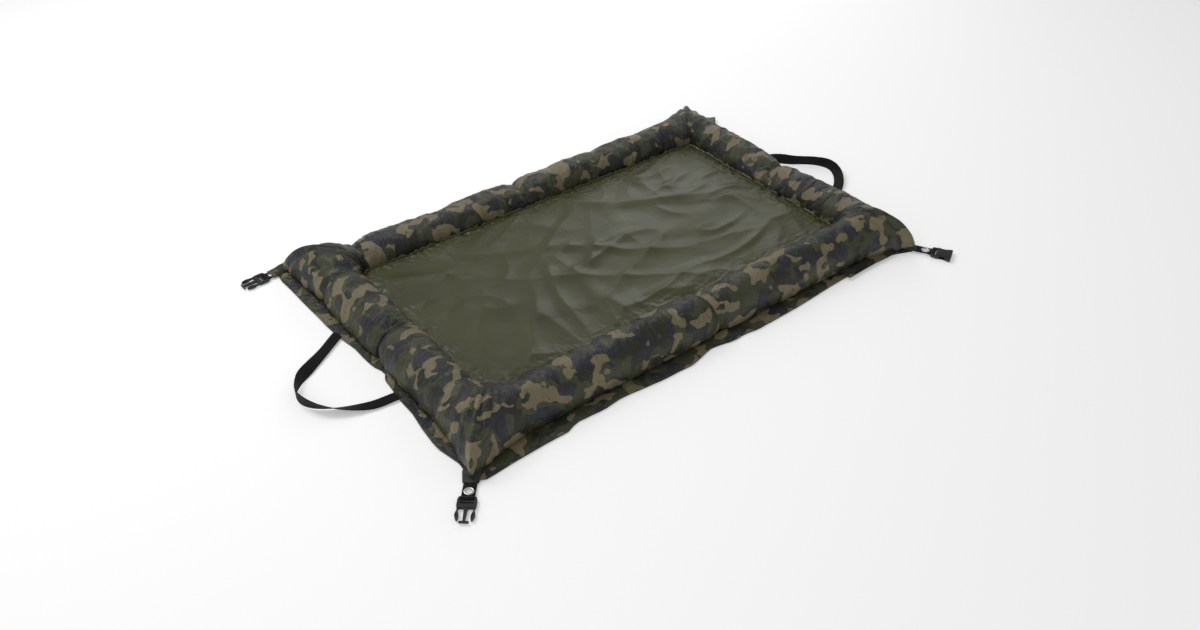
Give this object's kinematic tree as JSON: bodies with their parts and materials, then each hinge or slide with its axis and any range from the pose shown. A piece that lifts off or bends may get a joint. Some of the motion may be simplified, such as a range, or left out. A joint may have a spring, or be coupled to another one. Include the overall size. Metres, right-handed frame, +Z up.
{
  "type": "padded unhooking mat",
  "caption": "Fold-in-half padded mat: a flat olive tray inside camouflage bolsters, with webbing carry handles and side-release corner buckles.",
  "frame": {"origin": "middle of the bounding box, on the ground", "axes": "+X along the mat's length, from the plug end to the socket end, +Z up"},
  "size_m": [1.4967, 0.9227, 0.091],
  "materials": {
    "camo": "satin coated woven nylon, woodland camouflage print",
    "tray_sheet": "smooth coated olive fabric",
    "ground_sheet": "coated dark olive fabric",
    "webbing": "black polypropylene webbing",
    "filling": "white loose soft filling",
    "foam": "soft closed-cell foam",
    "label": "plain woven label",
    "eyelet": "nickel-plated brass",
    "buckle": "black acetal"
  },
  "bodies": {
    "left_half": {"ground_sheet_left": "ground_sheet", "foam_core_left": "foam", "tray_sheet_left": "tray_sheet", "hem_left": "camo", "cover_near_left": "camo", "cover_far_left": "camo", "cover_left_near": "camo", "cover_left_far": "camo", "corner_cover_near_left": "camo", "corner_cover_far_left": "camo", "filling_near_left": "filling", "filling_far_left": "filling", "filling_left_near": "filling", "filling_left_far": "filling", "corner_filling_near_left": "filling", "corner_filling_far_left": "filling", "corner_patch_near_left": "camo", "corner_patch_far_left": "camo"},
    "right_half": {"ground_sheet_right": "ground_sheet", "foam_core_right": "foam", "tray_sheet_right": "tray_sheet", "hem_right": "camo", "cover_near_right": "camo", "cover_far_right": "camo", "cover_right_near": "camo", "cover_right_far": "camo", "corner_cover_near_right": "camo", "corner_cover_far_right": "camo", "filling_near_right": "filling", "filling_far_right": "filling", "filling_right_near": "filling", "filling_right_far": "filling", "corner_filling_near_right": "filling", "corner_filling_far_right": "filling", "corner_patch_near_right": "camo", "corner_patch_far_right": "camo", "hem_flap": "camo", "label": "label"},
    "handle_left": {"handle_left": "webbing"},
    "handle_right": {"handle_right": "webbing"},
    "tab_near_left": {"tab_near_left": "webbing", "eyelet_near_left": "eyelet"},
    "tab_far_left": {"tab_far_left": "webbing", "eyelet_far_left": "eyelet"},
    "tab_near_right": {"tab_near_right": "webbing", "eyelet_near_right": "eyelet"},
    "tab_far_right": {"tab_far_right": "webbing", "eyelet_far_right": "eyelet"},
    "plug_near_left": {"plug_near_left": "buckle"},
    "prong_near_left_a": {"prong_near_left_a": "buckle"},
    "prong_near_left_b": {"prong_near_left_b": "buckle"},
    "plug_far_left": {"plug_far_left": "buckle"},
    "prong_far_left_a": {"prong_far_left_a": "buckle"},
    "prong_far_left_b": {"prong_far_left_b": "buckle"},
    "socket_near_right": {"socket_near_right": "buckle"},
    "socket_far_right": {"socket_far_right": "buckle"}
  },
  "joints": [
    {"name": "fold", "type": "hinge", "parent": "left_half", "child": "right_half", "pos_m": [0.0224, 0.0298, 0.092], "axis": [0, -1, 0], "range_deg": [0, 178]},
    {"name": "handle_left_lift", "type": "hinge", "parent": "left_half", "child": "handle_left", "pos_m": [-0.5956, 0.0298, 0.004], "axis": [0, -1, 0], "range_deg": [-90, 0]},
    {"name": "handle_right_lift", "type": "hinge", "parent": "right_half", "child": "handle_right", "pos_m": [0.6404, 0.0298, 0.004], "axis": [0, 1, 0], "range_deg": [-90, 0]},
    {"name": "tab_near_left_lift", "type": "hinge", "parent": "left_half", "child": "tab_near_left", "pos_m": [-0.6026, -0.3792, 0.0045], "axis": [0.766, -0.6428, 0], "range_deg": [-90, 0]},
    {"name": "plug_near_left_swing", "type": "hinge", "parent": "tab_near_left", "child": "plug_near_left", "pos_m": [-0.62767, -0.40908, 0.0045], "axis": [-0.766, 0.6428, 0], "range_deg": [-75, 75]},
    {"name": "prong_near_left_a_flex", "type": "hinge", "parent": "plug_near_left", "child": "prong_near_left_a", "pos_m": [-0.63025, -0.43471, 0.0045], "axis": [0, 0, -1], "range_deg": [0, 6], "stiffness_Nm_per_rad": 0.05},
    {"name": "prong_near_left_b_flex", "type": "hinge", "parent": "plug_near_left", "child": "prong_near_left_b", "pos_m": [-0.65247, -0.41607, 0.0045], "axis": [0, 0, 1], "range_deg": [0, 6], "stiffness_Nm_per_rad": 0.05},
    {"name": "tab_far_left_lift", "type": "hinge", "parent": "left_half", "child": "tab_far_left", "pos_m": [-0.5856, 0.4438, 0.0045], "axis": [0.0872, -0.9962, 0], "range_deg": [-90, 0]},
    {"name": "plug_far_left_swing", "type": "hinge", "parent": "tab_far_left", "child": "plug_far_left", "pos_m": [-0.62445, 0.4404, 0.0045], "axis": [-0.0872, 0.9962, 0], "range_deg": [-75, 75]},
    {"name": "prong_far_left_a_flex", "type": "hinge", "parent": "plug_far_left", "child": "prong_far_left_a", "pos_m": [-0.64441, 0.4241, 0.0045], "axis": [0, 0, -1], "range_deg": [0, 6], "stiffness_Nm_per_rad": 0.05},
    {"name": "prong_far_left_b_flex", "type": "hinge", "parent": "plug_far_left", "child": "prong_far_left_b", "pos_m": [-0.64693, 0.45299, 0.0045], "axis": [0, 0, 1], "range_deg": [0, 6], "stiffness_Nm_per_rad": 0.05},
    {"name": "tab_near_right_lift", "type": "hinge", "parent": "right_half", "child": "tab_near_right", "pos_m": [0.6194, -0.3822, 0.0056], "axis": [0.8829, 0.4695, 0], "range_deg": [-90, 0]},
    {"name": "socket_near_right_swing", "type": "hinge", "parent": "tab_near_right", "child": "socket_near_right", "pos_m": [0.63771, -0.41663, 0.0056], "axis": [-0.8829, -0.4695, 0], "range_deg": [-75, 75]},
    {"name": "tab_far_right_lift", "type": "hinge", "parent": "right_half", "child": "tab_far_right", "pos_m": [0.6224, 0.4248, 0.0056], "axis": [0.6691, 0.7431, 0], "range_deg": [-90, 0]},
    {"name": "socket_far_right_swing", "type": "hinge", "parent": "tab_far_right", "child": "socket_far_right", "pos_m": [0.65138, 0.3987, 0.0056], "axis": [-0.6691, -0.7431, 0], "range_deg": [-75, 75]}
  ]
}
